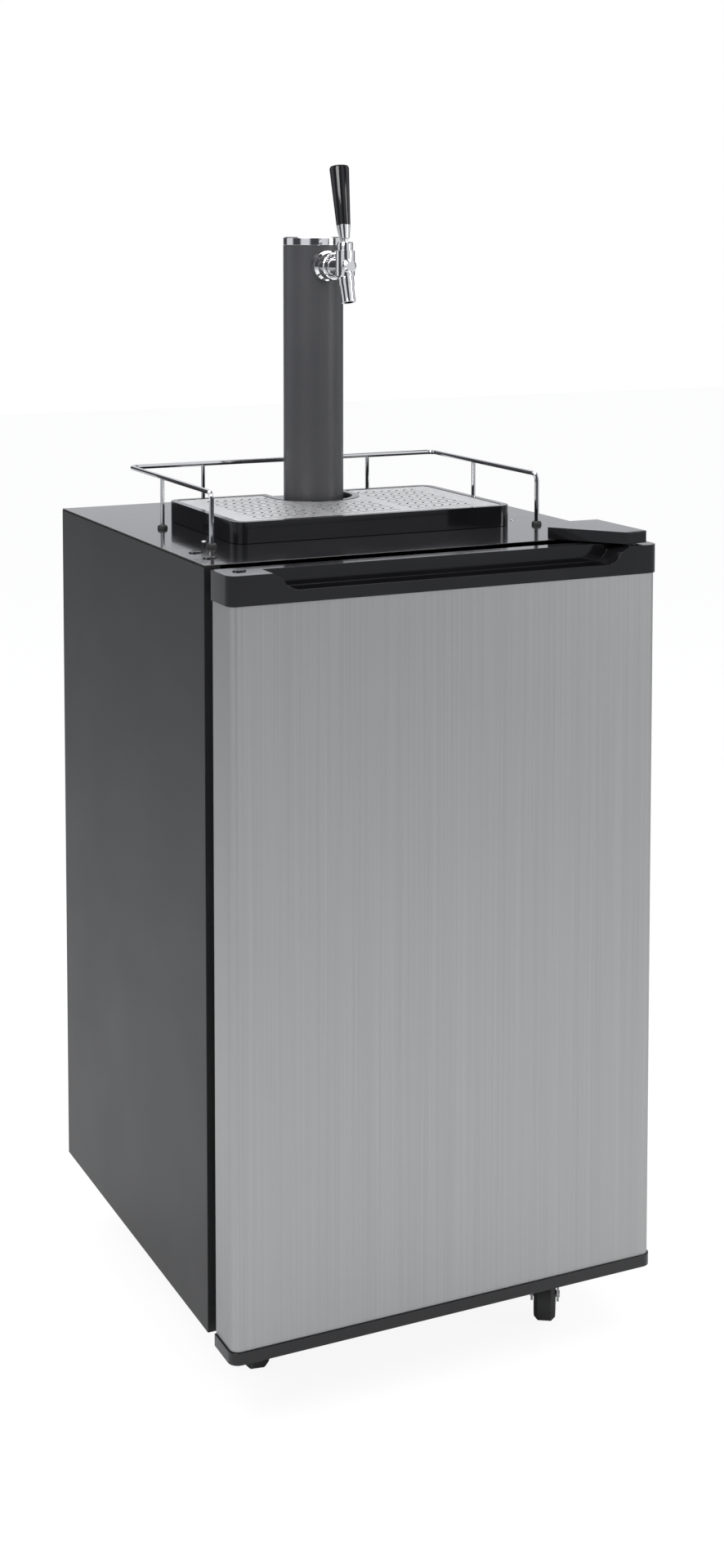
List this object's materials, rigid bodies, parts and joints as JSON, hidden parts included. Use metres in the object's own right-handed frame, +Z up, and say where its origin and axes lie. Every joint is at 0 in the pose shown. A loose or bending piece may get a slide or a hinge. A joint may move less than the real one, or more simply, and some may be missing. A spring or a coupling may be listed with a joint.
{
  "type": "kegerator",
  "caption": "Single-tap beer keg refrigerator on casters, with insulated cabinet, hinged steel door, draft tower and faucet, drip tray, guard rail and gas system.",
  "frame": {"origin": "on the floor, under the middle of the whole object's plan", "axes": "+X to the right as the door is faced, -Y out of the door's front, +Z up"},
  "size_m": [0.54, 0.6057, 1.4022],
  "materials": {
    "satin_black": "satin black powder coat",
    "gloss_black": "gloss black",
    "brushed_steel": "vertical brushed grain",
    "chrome": "polished",
    "tower_grey": "satin dark grey",
    "zinc": "zinc-plated steel",
    "liner_white": "white vacuum-formed plastic",
    "foam": "rigid foam",
    "rubber": "matt black rubber",
    "brass": "machined",
    "hose": "clear-grey vinyl hose",
    "grey_paint": "grey enamel",
    "knob_grey": "light grey moulded"
  },
  "bodies": {
    "cabinet": {"top_panel": "gloss_black", "side_panel_left": "satin_black", "side_panel_right": "satin_black", "back_panel": "satin_black", "base_pan": "satin_black", "bay_wall": "zinc", "insulation_foam": "foam", "inner_liner": "liner_white", "evaporator_plate": "zinc", "compressor": "gloss_black", "cord_gland": "rubber", "condenser_coil": "satin_black", "thermostat_housing": "liner_white", "top_hinge_bracket": "zinc", "top_hinge_cover": "gloss_black", "bottom_hinge_bracket": "zinc", "tower_column": "tower_grey", "tower_cap": "chrome", "faucet_shank": "chrome", "shank_collar": "chrome", "coupling_nut": "chrome", "shank_nut": "brass", "beer_line": "hose", "faucet_body": "chrome", "faucet_bonnet": "chrome", "guard_rail": "chrome", "co2_cylinder": "grey_paint", "cylinder_valve": "brass", "regulator_body": "brass", "gauge_keg": "brass", "gauge_cylinder": "brass", "gas_hose": "hose", "keg_coupler": "chrome"},
    "door": {"door_skin": "brushed_steel", "door_top_cap": "gloss_black", "door_bottom_cap": "gloss_black", "door_liner": "liner_white", "door_foam": "foam", "door_gasket": "rubber"},
    "tap_lever": {"faucet_lever": "chrome", "handle_ferrule": "chrome", "tap_handle": "gloss_black"},
    "plunger": {"faucet_plunger": "brass"},
    "tray": {"drip_tray": "gloss_black"},
    "grille": {"drip_grille": "brushed_steel"},
    "thermostat_dial": {"thermostat_knob": "knob_grey"},
    "handwheel": {"valve_handwheel": "gloss_black"},
    "pressure_knob": {"regulator_knob": "gloss_black"},
    "coupler_lever": {"coupler_handle": "gloss_black"},
    "probe": {"coupler_probe": "zinc"},
    "caster_front_left": {"caster_fork_front_left": "zinc"},
    "wheel_front_left": {"caster_wheel_front_left": "rubber"},
    "pedal_front_left": {"brake_pedal_front_left": "zinc"},
    "caster_front_right": {"caster_fork_front_right": "zinc"},
    "wheel_front_right": {"caster_wheel_front_right": "rubber"},
    "pedal_front_right": {"brake_pedal_front_right": "zinc"},
    "caster_rear_left": {"caster_fork_rear_left": "zinc"},
    "wheel_rear_left": {"caster_wheel_rear_left": "rubber"},
    "caster_rear_right": {"caster_fork_rear_right": "zinc"},
    "wheel_rear_right": {"caster_wheel_rear_right": "rubber"}
  },
  "joints": [
    {"name": "door_hinge", "type": "hinge", "parent": "cabinet", "child": "door", "pos_m": [0.246, -0.274, 0.492], "axis": [0, 0, 1], "range_deg": [0, 115]},
    {"name": "tap_lever_tilt", "type": "hinge", "parent": "cabinet", "child": "tap_lever", "pos_m": [0, -0.014, 1.301], "axis": [1, 0, 0], "range_deg": [0, 30]},
    {"name": "plunger_slide", "type": "slide", "parent": "cabinet", "child": "plunger", "axis": [0, 1, 0], "range_m": [0, 0.0124]},
    {"name": "tray_lift", "type": "slide", "parent": "cabinet", "child": "tray", "axis": [0, 0, 1], "range_m": [0, 0.12]},
    {"name": "grille_lift", "type": "slide", "parent": "tray", "child": "grille", "axis": [0, 0, 1], "range_m": [0, 0.1]},
    {"name": "thermostat_turn", "type": "hinge", "parent": "cabinet", "child": "thermostat_dial", "pos_m": [0.1844, -0.056, 0.792], "axis": [-1, 0, 0], "range_deg": [0, 300]},
    {"name": "handwheel_turn", "type": "hinge", "parent": "cabinet", "child": "handwheel", "pos_m": [0.15, 0.165, 0.7879], "axis": [0, 0, 1], "range_deg": [0, 720]},
    {"name": "pressure_knob_turn", "type": "hinge", "parent": "cabinet", "child": "pressure_knob", "pos_m": [0.15, 0.0704, 0.7596], "axis": [0, -1, 0], "range_deg": [0, 720]},
    {"name": "coupler_lever_tilt", "type": "hinge", "parent": "cabinet", "child": "coupler_lever", "pos_m": [-0.12, 0.165, 0.4273], "axis": [0, -1, 0], "range_deg": [0, 45]},
    {"name": "probe_slide", "type": "slide", "parent": "cabinet", "child": "probe", "axis": [0, 0, -1], "range_m": [0, 0.0121]},
    {"name": "swivel_front_left", "type": "hinge", "parent": "cabinet", "child": "caster_front_left", "pos_m": [-0.19, -0.189, 0.092], "axis": [0, 0, 1], "continuous": true},
    {"name": "roll_front_left", "type": "hinge", "parent": "caster_front_left", "child": "wheel_front_left", "pos_m": [-0.18514, -0.16143, 0.031], "axis": [-0.9848, 0.1736, 0], "continuous": true},
    {"name": "pedal_lift_front_left", "type": "hinge", "parent": "caster_front_left", "child": "pedal_front_left", "pos_m": [-0.20999, -0.18547, 0.072], "axis": [0.1736, 0.9848, 0], "range_deg": [0, 15]},
    {"name": "swivel_front_right", "type": "hinge", "parent": "cabinet", "child": "caster_front_right", "pos_m": [0.19, -0.189, 0.092], "axis": [0, 0, 1], "continuous": true},
    {"name": "roll_front_right", "type": "hinge", "parent": "caster_front_right", "child": "wheel_front_right", "pos_m": [0.17516, -0.21275, 0.031], "axis": [0.848, -0.5299, 0], "continuous": true},
    {"name": "pedal_lift_front_right", "type": "hinge", "parent": "caster_front_right", "child": "pedal_front_right", "pos_m": [0.20722, -0.19976, 0.072], "axis": [-0.5299, -0.848, 0], "range_deg": [0, 15]},
    {"name": "swivel_rear_left", "type": "hinge", "parent": "cabinet", "child": "caster_rear_left", "pos_m": [-0.19, 0.241, 0.092], "axis": [0, 0, 1], "continuous": true},
    {"name": "roll_rear_left", "type": "hinge", "parent": "caster_rear_left", "child": "wheel_rear_left", "pos_m": [-0.16575, 0.255, 0.031], "axis": [-0.5, 0.866, 0], "continuous": true},
    {"name": "swivel_rear_right", "type": "hinge", "parent": "cabinet", "child": "caster_rear_right", "pos_m": [0.19, 0.241, 0.092], "axis": [0, 0, 1], "continuous": true},
    {"name": "roll_rear_right", "type": "hinge", "parent": "caster_rear_right", "child": "wheel_rear_right", "pos_m": [0.18042, 0.26731, 0.031], "axis": [-0.9397, -0.342, 0], "continuous": true}
  ],
  "couplings": [
    {"joint": "plunger_slide", "follows": "tap_lever_tilt", "m_per_rad": 0.02363},
    {"joint": "probe_slide", "follows": "coupler_lever_tilt", "m_per_rad": 0.01528}
  ]
}
